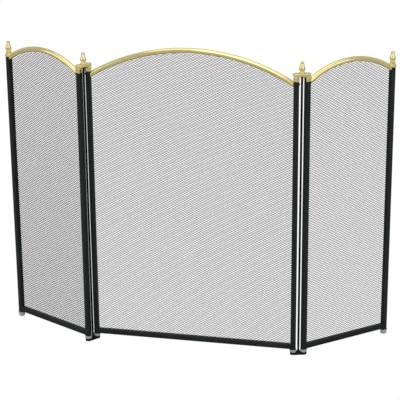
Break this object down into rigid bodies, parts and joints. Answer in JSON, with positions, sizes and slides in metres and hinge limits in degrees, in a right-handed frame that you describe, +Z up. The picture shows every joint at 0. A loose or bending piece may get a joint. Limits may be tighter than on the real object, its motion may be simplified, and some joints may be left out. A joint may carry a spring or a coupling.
{
  "type": "fireplace screen",
  "caption": "Folding fireplace screen: a wide mesh centre panel with a brass arch and a narrower arched wing on a double-pivot link at each side.",
  "frame": {"origin": "on the floor, under the middle of the box of the screen as it stands with its wings part folded back", "axes": "+Z up, +X along the centre panel towards the screen's right wing as seen from the front, and the front face looks along -Y"},
  "size_m": [0.9904, 0.2102, 0.7965],
  "materials": {
    "black_frame": "semi-gloss black coating on steel tube",
    "black_mesh": "black coated expanded metal",
    "polished_brass": "polished and lacquered",
    "black_steel": "black coated steel",
    "pin_steel": "plain turned steel",
    "grey_plastic": "light grey moulded plastic",
    "black_plastic": "black moulded plastic"
  },
  "bodies": {
    "centre_panel": {"centre_arch": "polished_brass", "centre_bottom_rail": "black_frame", "centre_left_arch_screw": "black_steel", "centre_left_bush": "grey_plastic", "centre_left_ferrule": "polished_brass", "centre_left_post": "black_frame", "centre_mesh": "black_mesh", "centre_right_arch_screw": "black_steel", "centre_right_bush": "grey_plastic", "centre_right_ferrule": "polished_brass", "centre_right_post": "black_frame"},
    "left_link": {"left_link_bottom_plate": "black_steel", "left_link_finial": "polished_brass", "left_link_lower_centre_pin": "pin_steel", "left_link_lower_wing_pin": "pin_steel", "left_link_rod_lower_nut": "black_steel", "left_link_rod_upper_nut": "black_steel", "left_link_tie_rod": "black_steel", "left_link_top_plate": "polished_brass", "left_link_upper_centre_pin": "pin_steel", "left_link_upper_wing_pin": "pin_steel"},
    "left_wing": {"left_wing_arch": "polished_brass", "left_wing_bottom_rail": "black_frame", "left_wing_hinge_arch_screw": "black_steel", "left_wing_hinge_bush": "grey_plastic", "left_wing_hinge_ferrule": "polished_brass", "left_wing_hinge_post": "black_frame", "left_wing_mesh": "black_mesh", "left_wing_outer_arch_screw": "black_steel", "left_wing_outer_cap": "polished_brass", "left_wing_outer_finial": "polished_brass", "left_wing_outer_foot": "grey_plastic", "left_wing_outer_plug": "black_plastic", "left_wing_outer_post": "black_frame"},
    "right_link": {"right_link_bottom_plate": "black_steel", "right_link_finial": "polished_brass", "right_link_lower_centre_pin": "pin_steel", "right_link_lower_wing_pin": "pin_steel", "right_link_rod_lower_nut": "black_steel", "right_link_rod_upper_nut": "black_steel", "right_link_tie_rod": "black_steel", "right_link_top_plate": "polished_brass", "right_link_upper_centre_pin": "pin_steel", "right_link_upper_wing_pin": "pin_steel"},
    "right_wing": {"right_wing_arch": "polished_brass", "right_wing_bottom_rail": "black_frame", "right_wing_hinge_arch_screw": "black_steel", "right_wing_hinge_bush": "grey_plastic", "right_wing_hinge_ferrule": "polished_brass", "right_wing_hinge_post": "black_frame", "right_wing_mesh": "black_mesh", "right_wing_outer_arch_screw": "black_steel", "right_wing_outer_cap": "polished_brass", "right_wing_outer_finial": "polished_brass", "right_wing_outer_foot": "grey_plastic", "right_wing_outer_plug": "black_plastic", "right_wing_outer_post": "black_frame"}
  },
  "joints": [
    {"name": "left_link_swing", "type": "hinge", "parent": "centre_panel", "child": "left_link", "pos_m": [-0.24834, -0.07542, 0], "axis": [0, 0, 1], "range_deg": [-140, 40]},
    {"name": "left_wing_fold", "type": "hinge", "parent": "left_link", "child": "left_wing", "pos_m": [-0.2657, -0.0961, 0], "axis": [0, 0, 1], "range_deg": [-12, 168]},
    {"name": "right_link_swing", "type": "hinge", "parent": "centre_panel", "child": "right_link", "pos_m": [0.27166, -0.07542, 0], "axis": [0, 0, 1], "range_deg": [-106, 74]},
    {"name": "right_wing_fold", "type": "hinge", "parent": "right_link", "child": "right_wing", "pos_m": [0.29761, -0.06798, 0], "axis": [0, 0, 1], "range_deg": [-115, 65]}
  ]
}
